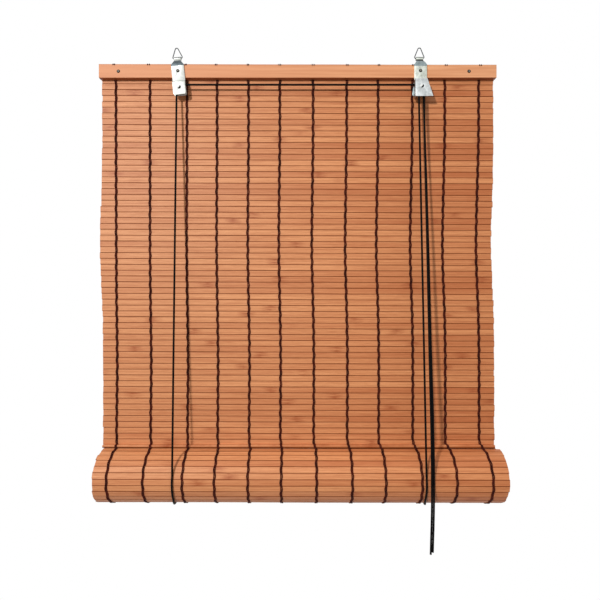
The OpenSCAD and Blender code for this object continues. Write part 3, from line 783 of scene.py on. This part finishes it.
def thread_piece(bm, name, body, node):
    piece = finished(bm, name, thread_finish)
    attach(piece, body)
    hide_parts(node)
    print(name, len(piece.data.polygons), "faces")
    return piece


def leaning_place(k, z):
    """Just above the bend a warp already leans towards its place on the roll."""
    near = max(0, 1 - (z - MAT_BOTTOM) / LEAN_HEIGHT)
    aside = WARPS[k] * MM + ROLL_X - warp_place(k, MAT_BOTTOM)
    return warp_place(k, z) + LEAN_SHARE * near ** 2 * aside


for face, sign, level in (("front", -1, MAT_FRONT), ("back", 1, MAT_FRONT + SLAT_T)):
    free, held = bmesh.new(), bmesh.new()
    for k in range(len(WARPS)):
        def on_mat(x, out, along, k=k, start=FREE_TOP):
            z = start - along
            return Vector((leaning_place(k, z) + x, level + sign * out, z + slope(WARPS[k] * MM)))

        def on_tucked(x, out, along, k=k):
            return on_mat(x, out, along, k, FREE_TOP + SLAT_PITCH)
        lay_threads(free, HANG_SLATS - FIRST_FREE, on_mat, flip=bool(k % 2))
        lay_threads(held, 1, on_tucked, flip=not k % 2)
    free_piece = thread_piece(free, f"mat_threads_{face}", "headrail", "mat_warps")
    shorten(free_piece, FREE_TOP, MAT_BOTTOM)
    thread_piece(held, f"held_threads_{face}", "headrail", "mat_warps")

# %% Threads round the roll
def on_roll(k):
    def place(x, out, along):
        i = min(int(along / SLAT_PITCH), len(EDGES) - 2)
        a, b = EDGES[i], EDGES[i + 1]
        share = along / SLAT_PITCH - i
        spot = roll_point(a, winding_radius(a)).lerp(roll_point(b, winding_radius(b)), share)
        away = (spot - Vector((0, ROLL_Y, ROLL_Z))).normalized()
        return spot + away * out + Vector((WARPS[k] * MM + ROLL_X + x, 0, sag(WARPS[k] * MM)))
    return place


THREADED_TO = 300
OUTER_COUNT = sum(1 for a in EDGES if a < THREADED_TO)
bm = bmesh.new()
for k in range(len(WARPS)):
    lay_threads(bm, OUTER_COUNT, on_roll(k), flip=bool(k % 2))
thread_piece(bm, "roll_threads", "roll", "roll_warps")

# %% Threads over the bend
bm = bmesh.new()
onto = roll_point(4.5, ROLL_R + 0.45 * MM)
for k in range(len(WARPS)):
    start, stop = leaning_place(k, MAT_BOTTOM), WARPS[k] * MM + ROLL_X
    dip = MAT_BOTTOM + sag(start) - 1.8 * MM
    for side in (-PAIR_HALF, PAIR_HALF):
        route = [
            (start + side, MAT_FRONT - 0.4 * MM, MAT_BOTTOM + 0.8 * MM),
            (start + side, MAT_FRONT - 1.2 * MM, MAT_BOTTOM + 0.6 * MM),
            (0.8 * start + 0.2 * stop + side, -5.2 * MM, MAT_BOTTOM + 0.45 * MM),
            ((start + stop) / 2 + side, -6.6 * MM, dip),
            (stop + side, onto.y, onto.z + sag(stop))]
        ring_of(bm, [Vector(p) for p in route], THREAD_R, THREAD_SIDES)
wrap_uv(bm, THREAD_SIDES)
thread_piece(bm, "bend_threads", "sling", "mat_bend")

# %% Thread ends
END_R, END_SIDES = 0.75 * MM, 6
bm = bmesh.new()
for k in range(len(WARPS)):
    for side in (-1, 1):
        x = warp_place(k, RAIL_TOP) + side * PAIR_HALF
        top, end_x = rail_top(x), x + side * chance.uniform(-0.1, 0.6) * MM
        route = [
            (x, MAT_FRONT + SLAT_T / 2, MAT_TOP),
            (x, MAT_FRONT + SLAT_T / 2, top - 0.6 * MM),
            (x, MAT_FRONT - 0.2 * MM, top + 0.4 * MM),
            (end_x, RAIL_FRONT + 0.5 * MM, top + 0.2 * MM),
            (end_x, RAIL_FRONT - 0.4 * MM, top - 0.7 * MM),
            (end_x, RAIL_FRONT - 0.4 * MM, top - 1.7 * MM)]
        ring_of(bm, [Vector(p) for p in route], END_R, END_SIDES)
wrap_uv(bm, END_SIDES)
thread_piece(bm, "thread_ends", "headrail", "warp_tufts")

# %% [markdown]
# ## Wood of the battens
# The headrail is two planed strips of light wood, nailed through the top of the mat. Their grain is
# long and faint, so the finish reads Object coordinates squeezed along X.

# %% Batten finish
def make_batten_material():
    material, tree, shader = new_material("batten_wood")

    def wood_noise(scale, **values):
        place = add(tree, "Mapping", {"Vector": coords(tree, "Object"), "Scale": scale})
        node = add(tree, "TexNoise", {"Vector": place.outputs[0], "Scale": 1.0, **values})
        return node.outputs["Fac"]

    grain = wood_noise((7, 260, 260), Detail=5.0, Roughness=0.6, Distortion=0.4)
    patches = wood_noise((9, 60, 60), Detail=2.0)
    fine = ramp(tree, grain, 0.3, 0.72)
    colour = blend_colours(tree, fine, linear(208, 138, 92), linear(232, 166, 118))
    colour = tinted(tree, colour, ramp(tree, patches, 0.45, 0.75), 0.45, (212, 138, 90))
    spot = split(tree, coords(tree, "Object"))
    # Painted shade: darker towards the left end, against the stronger lamp light there.
    colour = tinted(tree, colour, ramp(tree, spot["X"], 0.3, -0.3), 0.65, (196, 122, 74))
    level = math_node(tree, "MULTIPLY_ADD", spot["X"], RAIL_TAPER, spot["Z"])
    rim = ramp(tree, level, RAIL_TOP - 0.7 * MM, RAIL_TOP + 0.6 * MM)
    colour = tinted(tree, colour, rim, 0.5, (150, 90, 58))
    # Painted shade on the faces that look down.
    below = ramp(tree, split(tree, coords(tree, "Normal"))["Z"], -0.25, -0.85)
    colour = blend_colours(tree, below, colour, linear(160, 88, 46))
    tree.links.new(colour, shader.inputs["Base Color"])
    shader.inputs["Roughness"].default_value = 0.55
    bump(tree, shader, grain, 0.2, 0.0003)
    return material


batten_finish = make_batten_material()
print("finish:", batten_finish.name)

# %% Battens
def batten(name, node, body):
    """A planed strip in the node's box, with softened edges."""
    low, high = (Vector(c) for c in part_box(node))
    bm = bmesh.new()
    bmesh.ops.create_cube(bm, size=1)
    bmesh.ops.scale(bm, vec=high - low, verts=bm.verts)
    bmesh.ops.translate(bm, vec=(low + high) / 2, verts=bm.verts)
    sharp = [e for e in bm.edges if e.calc_face_angle(0) > 0.6]
    soften(bm, sharp, 0.45 * MM)
    long_edges = [e for e in bm.edges if abs(e.verts[0].co.x - e.verts[1].co.x) > 0.3]
    bmesh.ops.subdivide_edges(bm, edges=long_edges, cuts=23, use_grid_fill=True)
    for vert in bm.verts:
        if body == "headrail" and vert.co.z > (low.z + high.z) / 2:
            vert.co.z += rail_top(vert.co.x) - RAIL_TOP
        vert.co.z += 0.25 * MM * noise.noise(Vector((vert.co.x * 9, low.y * 90, 0)))
    piece = finished(bm, name, batten_finish, smooth=False)
    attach(piece, body)
    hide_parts(node)
    return piece


for name, node, body in (
    ("headrail_front", "front_batten", "headrail"),
    ("headrail_back", "back_batten", "headrail"),
    ("bottom_strip_front", "bottom_batten_front", "roll"),
    ("bottom_strip_back", "bottom_batten_back", "roll"),
):
    print(batten(name, node, body).name, "made")

# %% [markdown]
# ## Metal
# The brackets are bright zinc plated sheet: the left one is new and shiny, the lock is duller and
# greenish. Zinc cools in leaf-shaped crystals, which show as faint patches. One group makes the
# patches and the dirt, and each metal uses it with its own scale.

# %% Metal finishes
def make_metal_group():
    tree, given, made = new_group(
        "plated_skin", {"Patch scale": 300, "Dirt scale": 140}, ["Patch", "Dirt"])
    spot = coords(tree, "Object")
    cells = add(tree, "TexVoronoi", {
        "Vector": spot, "Scale": given["Patch scale"]})
    grey = add(tree, "RGBToBW", {0: cells.outputs["Color"]})
    tree.links.new(grey.outputs[0], made["Patch"])
    dirt = add(tree, "TexNoise", {
        "Vector": spot, "Scale": given["Dirt scale"], "Detail": 5.0, "Roughness": 0.65})
    tree.links.new(ramp(tree, dirt.outputs["Fac"], 0.42, 0.72), made["Dirt"])
    return tree


plated_skin = make_metal_group()


def make_metal(name, bright, dull, dirty, roughness, patch=300, dirt_share=0.5, metallic=0.9,
               shade=None, specular=0.5):
    """shade = (direction, low, high, share) darkens the faces that look that way: painted shade."""
    material, tree, shader = new_material(name)
    skin = place_group(tree, plated_skin, **{"Patch scale": patch})
    colour = blend_colours(tree, skin["Patch"], linear(*dull), linear(*bright))
    colour = tinted(tree, colour, skin["Dirt"], dirt_share, dirty)
    if shade:
        direction, low, high, most = shade
        facing = add(tree, "VectorMath", {0: coords(tree, "Normal"), 1: direction},
                     operation="DOT_PRODUCT").outputs["Value"]
        # Painted shade: near black on the faces that look the shade's way.
        colour = tinted(tree, colour, ramp(tree, facing, low, high), most, (20, 18, 16))
    tree.links.new(colour, shader.inputs["Base Color"])
    shader.inputs["Metallic"].default_value = metallic
    shader.inputs["Specular IOR Level"].default_value = specular
    roughen(tree, shader, skin["Patch"], roughness + 0.1, roughness - 0.08)
    bump(tree, shader, skin["Dirt"], 0.15, 0.0002)
    return material


bright_zinc = make_metal("bright_zinc", (200, 202, 196), (172, 176, 173), (134, 137, 134), 0.5,
                         dirt_share=0.3)
dull_zinc = make_metal("dull_zinc", (226, 230, 221), (186, 192, 181), (122, 125, 113), 0.46,
                       dirt_share=0.45)
# Painted shade on the faces that look left, which dims the lamp's highlight on the cover's flange.
lock_zinc = make_metal("lock_zinc", (222, 226, 226), (184, 189, 190), (132, 134, 132), 0.44,
                       dirt_share=0.45, shade=((-1, 0, 0), 0.5, 0.9, 0.6))
# Painted dark reflection for the left bracket's neck.
painted_neck_reflection = make_metal("painted_neck_reflection", (96, 106, 110), (70, 79, 84), (48, 52, 54), 0.42)
steel_finish = make_metal("bright_steel", (168, 168, 164), (128, 128, 124), (78, 76, 72), 0.32,
                          patch=500)
# Painted shade, paler: on the right bracket's neck, and on the leaf beside the lock, where it dims the
# lamp's highlight.
pale_painted_shade = make_metal("pale_painted_shade", (158, 172, 174), (124, 138, 141), (82, 88, 90), 0.4)
# Painted shadow under the right bracket's curl.
fold_shade = make_metal("fold_shade", (34, 38, 40), (22, 25, 26), (12, 12, 12), 0.5, metallic=0.3)
# Painted shade: the nail heads are dark all over but for a lit spot in the middle.
nail_finish = make_metal("nail_steel", (150, 144, 134), (112, 106, 98), (60, 50, 42), 0.6,
                         patch=700, metallic=0.1, shade=((0, 1, 0), -0.995, -0.95, 1),
                         specular=0.1)
wire_finish = make_metal("ring_wire", (76, 81, 82), (54, 59, 61), (36, 38, 38), 0.45,
                         patch=500, metallic=0.4)
# Painted shadow: a dark crescent on the lower right of each rivet dome.
rivet_finish = make_metal("rivet_steel", (238, 240, 238), (214, 216, 214), (150, 150, 146), 0.4,
                          patch=700, dirt_share=0.2, metallic=0.1,
                          shade=((0.8, 0, -0.6), 0.0, 0.22, 1), specular=0.1)
print("finishes:", [m.name for m in bpy.data.materials])

# %% Metal pieces
def dressed(node, material, slot, edge=0.18 * MM, round_edges=True):
    """A copy of a solid with merged faces and softened edges."""
    bm = bmesh.new()
    bm.from_mesh(frame["nodes"][node].data)
    bmesh.ops.remove_doubles(bm, verts=bm.verts, dist=1e-6)
    bmesh.ops.dissolve_limit(bm, angle_limit=0.01, verts=bm.verts, edges=bm.edges)
    if round_edges:
        sharp = [e for e in bm.edges if len(e.link_faces) == 2 and e.calc_face_angle(0) > 0.5]
        soften(bm, sharp, edge, clamp_overlap=True)
    piece = finished(bm, f"{node}_metal", material)
    piece.data.set_sharp_from_angle(angle=math.radians(35))
    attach(piece, frame["nodes"][node]["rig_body"])
    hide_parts(node)
    return piece


for node, material, slot in (
    ("left_bracket", bright_zinc, "zinc_sheet"), ("right_bracket", dull_zinc, "zinc_sheet"),
    ("lock_cover", lock_zinc, "zinc_sheet"), ("lock_pawl", steel_finish, "bright_steel"),
    ("left_pulley", steel_finish, "bright_steel"), ("lock_pulley", steel_finish, "bright_steel"),
    ("cord_staples", steel_finish, "bright_steel"),
):
    print(dressed(node, material, slot).name, "made")

# %% Necks of the brackets and rings
def shade_neck(node, axle_x, lean, bands):
    """Paints bands on a bracket: painted dark reflection and shade on the neck and beside the lock, and a
    grey line for the wire in the eye. The sheet is cut across, and each band gets its tone.
    """
    data = bpy.data.objects[f"{node}_metal"].data
    axle, up = Vector((axle_x, 0, PULLEY_Z)), Vector((-math.sin(lean), 0, math.cos(lean)))
    bm = bmesh.new()
    bm.from_mesh(data)
    for slot, (low, high, material) in enumerate(bands, 1):
        data.materials.append(material)
        for height in (low, high):
            bmesh.ops.bisect_plane(bm, geom=bm.verts[:] + bm.edges[:] + bm.faces[:], dist=1e-7,
                                   plane_co=axle + up * (height - PULLEY_Z), plane_no=up)
        for face in bm.faces:
            if low < PULLEY_Z + (face.calc_center_median() - axle).dot(up) < high:
                face.material_index = slot
    bm.to_mesh(data)
    bm.free()


LEAN = math.radians(6)
# Left neck: painted dark reflection, and the grey wire line on the curl.
shade_neck("left_bracket", LEFT_X, LEAN, [
    (RAIL_TOP - 2 * MM, -20.2 * MM, painted_neck_reflection), (-15.5 * MM, -14.2 * MM, wire_finish)])
# Right bracket: painted shade on the neck, painted shadow under the curl, the grey wire line, and painted
# shade on the leaf beside the lock.
shade_neck("right_bracket", RIGHT_X, 0, [
    (RAIL_TOP - 2.6 * MM, -21.4 * MM, pale_painted_shade), (-21.4 * MM, -18 * MM, fold_shade),
    (-15.4 * MM, -14.2 * MM, wire_finish), (-82 * MM, -57 * MM, pale_painted_shade)])
for node in ("left_ring", "right_ring"):
    dressed(node, wire_finish, "bright_steel", round_edges=False)

# %% [markdown]
# ## Nails and rivets
# A nail's head is a low dome on a thin shank, and a rivet has a dome on both sides. Both are round
# about Y, so a profile is spun once round.

# %% Nails and rivets
def turned(bm, x, z, profile):
    """Spins a profile of (depth y, radius) pairs once round the line through x and z."""
    points = [bm.verts.new((x + radius, y, z)) for y, radius in profile]
    edges = [bm.edges.new(pair) for pair in zip(points, points[1:])]
    bmesh.ops.spin(bm, geom=points + edges, cent=(x, 0, z), axis=(0, 1, 0), angle=2 * math.pi,
                   steps=20, use_merge=True)


def dome(front, radius, height, steps=4):
    angles = [i / steps * math.pi / 2 for i in range(steps + 1)]
    return [(front + height * (1 - math.cos(a)), radius * math.sin(a)) for a in angles]


def round_pieces(name, node, material, spots, profile):
    bm = bmesh.new()
    for x, z in spots:
        turned(bm, x, z, profile)
    bmesh.ops.remove_doubles(bm, verts=bm.verts, dist=1e-6)
    piece = finished(bm, name, material)
    piece.data.set_sharp_from_angle(angle=math.radians(40))
    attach(piece, frame["nodes"][node]["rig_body"])
    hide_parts(node)
    print(name, len(piece.data.polygons), "faces")


HEAD_H, NAIL_HEAD_R, SHANK_R, SHANK_END = 0.9 * MM, 2.6 * MM, 0.9 * MM, 8.7 * MM
RIVET_R, RIVET_HEAD_R, RIVET_HEAD_H = 1.3 * MM, 3 * MM, 1.5 * MM
PIN_FRONT, PIN_R, PIN_HEAD_R = -14.9 * MM, 0.9 * MM, 1.8 * MM
PLATE_FRONT, HOUSING_FRONT, COVER_FRONT = -8 * MM, -12.5 * MM, -15.95 * MM
NAIL_Z = (RAIL_TOP + RAIL_BOTTOM) / 2


def nail_profile(face):
    shank = [(face, SHANK_R), (SHANK_END, SHANK_R), (SHANK_END + 0.1 * MM, 0)]
    return dome(face - HEAD_H, NAIL_HEAD_R, HEAD_H) + shank


def rivet_back(radius, head):
    tail = reversed(dome(RAIL_FRONT - HEAD_H, head, HEAD_H))
    return [(RAIL_FRONT, radius)] + [(2 * RAIL_FRONT - y, r) for y, r in tail]


def rivet_profile(front):
    head = dome(front - RIVET_HEAD_H, RIVET_HEAD_R, RIVET_HEAD_H)
    return head + [(front, RIVET_R)] + rivet_back(RIVET_R, RIVET_HEAD_R)


rise = NAIL_Z - PULLEY_Z
left_nail = (LEFT_X - rise * math.sin(LEAN), PULLEY_Z + rise * math.cos(LEAN))
round_pieces("headrail_nails", "batten_nails", nail_finish,
             [(-0.272, NAIL_Z), (0.26, NAIL_Z)], nail_profile(RAIL_FRONT))
round_pieces("plate_nails", "bracket_nails", nail_finish,
             [left_nail, (RIGHT_X, NAIL_Z)], nail_profile(PLATE_FRONT))
round_pieces("left_rivet", "left_axle", rivet_finish,
             [(LEFT_X, PULLEY_Z)], rivet_profile(HOUSING_FRONT))
round_pieces("lock_rivet", "lock_axle", rivet_finish,
             [(RIGHT_X, PULLEY_Z)], rivet_profile(COVER_FRONT))
round_pieces("pawl_rivet", "pawl_pin", steel_finish,
             [(RIGHT_X + 9.6 * MM, PULLEY_Z - 5 * MM)],
             [(PIN_FRONT, 0), (PIN_FRONT, PIN_R)] + rivet_back(PIN_R, PIN_HEAD_R))

# %% [markdown]
# ## Lift cords
# Each lift cord starts at a knot behind the headrail, runs down behind the mat, round under the
# roll and up the front to its pulley. The runs ride the headrail, and the sling rides with the roll.
# A front run ends where the cord meets the lifted roll, so it stays clear of it all the way.

# %% Lift cords
SLING_R = ROLL_R + 0.3 * MM + CORD_SHOWN_R
WRAP_R = 4.2 * MM
BACK_Y = RAIL_BACK + 0.15 * MM + CORD_R
STAPLE_Z, KNOT_Z, STRAND_TOP = -40 * MM, -34 * MM, -80 * MM
SLIP_FROM, LOOP_STEPS, RUN_STEPS = 130, 48, 40


def sling_turn(y, z, side):
    """The angle, over the front from the top, at which a cord from (y, z) meets the sling."""
    ahead, up = ROLL_Y - y, z - ROLL_Z
    opening = math.acos(SLING_R / math.hypot(ahead, up))
    return math.degrees(math.atan2(ahead, up) + side * opening)


def spaced(a, b, count):
    return [Vector(a).lerp(Vector(b), i / count) for i in range(count + 1)]


def wrap_points(x, y, start, stop, count=10):
    angles = [math.radians(start + (stop - start) * i / count) for i in range(count + 1)]
    return [Vector((x + WRAP_R * math.cos(a), y, PULLEY_Z + WRAP_R * math.sin(a))) for a in angles]


def to_strand(y):
    """From the lock pulley down to the point where a pull strand starts."""
    x = RIGHT_X + WRAP_R
    return spaced((x, y, PULLEY_Z), (x, y, STRAND_TOP), 4)[1:]


def cord_piece(name, points, body, *nodes):
    piece = tube(name, points, CORD_SHOWN_R, cord_finish)
    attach(piece, body)
    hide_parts(*nodes)
    return piece

# %% Slings and lift runs
back_turn = 360 + sling_turn(BACK_Y, STAPLE_Z, -1)


def slipped(degrees):
    """0 to 1: how far the sling has slipped sideways at this angle, most of all under the roll."""
    share = (degrees - SLIP_FROM) / (back_turn - SLIP_FROM)
    return math.sin(math.pi * share) if share > 0 else 0


for side, pulley_x, groove_y, sling_x, slip in (
    ("left", LEFT_X, REAR_Y, LEFT_SLING_X, -5 * MM),
    ("right", RIGHT_X, FRONT_Y, RIGHT_SLING_X, 7 * MM),
):
    front_turn = sling_turn(groove_y, PULLEY_Z - LIFT, 1)
    loop = []
    for i in range(LOOP_STEPS + 1):
        angle = front_turn + (back_turn - front_turn) * i / LOOP_STEPS
        aside = Vector((sling_x + slip * slipped(angle), 0, sag(sling_x)))
        loop.append(roll_point(angle, SLING_R) + aside)
    cord_piece(f"{side}_loop", loop, "sling", f"{side}_sling")
    pulley_side = Vector((pulley_x - WRAP_R, groove_y, PULLEY_Z))
    knot_foot = Vector((sling_x, BACK_Y, KNOT_Z - 2.4 * MM))
    for name, top, foot in (("front", pulley_side, loop[0]), ("back", knot_foot, loop[-1])):
        run = cord_piece(
            f"{side}_{name}_run", spaced(top, foot, RUN_STEPS), "headrail", f"{side}_lift_{name}")
        shorten(run, top.z, foot.z)
    print(side, "sling from", round(front_turn), "to", round(back_turn), "degrees")

# %% Cords over the pulleys
over = PULLEY_Z + WRAP_R
across = wrap_points(LEFT_X, REAR_Y, 180, 90)
across += spaced((LEFT_X, REAR_Y, over), (RIGHT_X, REAR_Y, over), RUN_STEPS)[1:]
across += wrap_points(RIGHT_X, REAR_Y, 90, 0)[1:] + to_strand(REAR_Y)
cord_piece("across_run", across, "headrail", "cross_cord")
down = wrap_points(RIGHT_X, FRONT_Y, 180, 0) + to_strand(FRONT_Y)
cord_piece("lock_run", down, "headrail", "lock_cord")
print("cords over the pulleys:", len(across), "and", len(down), "points")

# %% Knots
KNOT_STEPS, KNOT_TURNS, KNOT_SIDES = 26, 2.2, 10
COIL_R, COIL_H, COIL_CORD_R = 1.25 * MM, 2.6 * MM, 1.1 * MM


def knot(bm, centre):
    """An overhand knot, as a short coil of cord."""
    points = []
    for i in range(KNOT_STEPS + 1):
        share = i / KNOT_STEPS
        a = 2 * math.pi * KNOT_TURNS * share
        points.append(centre + Vector((
            COIL_R * math.cos(a), COIL_R * math.sin(a), (share - 0.5) * COIL_H)))
    ring_of(bm, points, COIL_CORD_R, KNOT_SIDES)


bm = bmesh.new()
for x in (LEFT_SLING_X, RIGHT_SLING_X):
    knot(bm, Vector((x, RAIL_BACK + 2.55 * MM, KNOT_Z)))
wrap_uv(bm, KNOT_SIDES)
knots = finished(bm, "cord_end_knots", cord_finish)
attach(knots, "headrail")
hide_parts("cord_knots")
print("knots with", len(knots.data.polygons), "faces")

# %% [markdown]
# ## Light and background
# A soft lamp from the upper left throws the cords' shadows to the right on the mat, and a pale
# world fills the rest, less from below. The world is white to the camera and to reflections. The
# floor is a disc far below, which fades out at its rim and takes the shadow.

# %% Light
LAMP_SPOT, LAMP_AIM, LAMP_SIZE, LAMP_WATTS = (-1.02, -2.0, 0.44), Vector((0, 0, -0.32)), 0.18, 39
lamp_data = bpy.data.lights.new("key", "AREA")
lamp_data.shape = "DISK"
lamp_data.size = LAMP_SIZE
lamp_data.energy = LAMP_WATTS
lamp = bpy.data.objects.new("key", lamp_data)
lamp.location = LAMP_SPOT
lamp.rotation_euler = (LAMP_AIM - lamp.location).to_track_quat("-Z", "Y").to_euler()
scene.collection.objects.link(lamp)

world = bpy.data.worlds.new("studio")
scene.world = world
world.use_nodes = True
tree = world.node_tree
path = add(tree, "LightPath").outputs
seen = math_node(tree, "MAXIMUM", path["Is Camera Ray"], path["Is Glossy Ray"])
seen = math_node(tree, "MAXIMUM", seen, path["Is Transmission Ray"])
height = split(tree, coords(tree, "Generated"))["Z"]
fill = add(tree, "MapRange", {
    "Value": height, "From Min": -0.5, "From Max": 0.5, "To Min": 0.12, "To Max": 0.78})
strength = add(tree, "MapRange", {
    "Value": seen, "To Min": fill.outputs["Result"], "To Max": 1.0})
tree.links.new(strength.outputs["Result"], tree.nodes["Background"].inputs["Strength"])
tree.nodes["Background"].inputs["Color"].default_value = (1, 1, 1, 1)
print("lamp of", LAMP_WATTS, "W")

# %% Floor
FLOOR_Z, FLOOR_R = -1.75, 1.1
bm = bmesh.new()
bmesh.ops.create_circle(bm, segments=64, radius=FLOOR_R, cap_ends=True,
                        matrix=Matrix.Translation((0, 0, FLOOR_Z)))
material, tree, shader = new_material("pale_floor")
place = add(tree, "Mapping", {
    "Vector": coords(tree, "Object"), "Scale": (1 / FLOOR_R, 1 / FLOOR_R, 0)})
away = add(tree, "VectorMath", {0: place.outputs[0]}, operation="LENGTH").outputs["Value"]
tree.links.new(ramp(tree, away, 1.0, 0.45), shader.inputs["Alpha"])
shader.inputs["Base Color"].default_value = (0.9, 0.9, 0.9, 1)
shader.inputs["Roughness"].default_value = 0.9
floor = finished(bm, "floor", material, smooth=False)
print("floor at", FLOOR_Z)
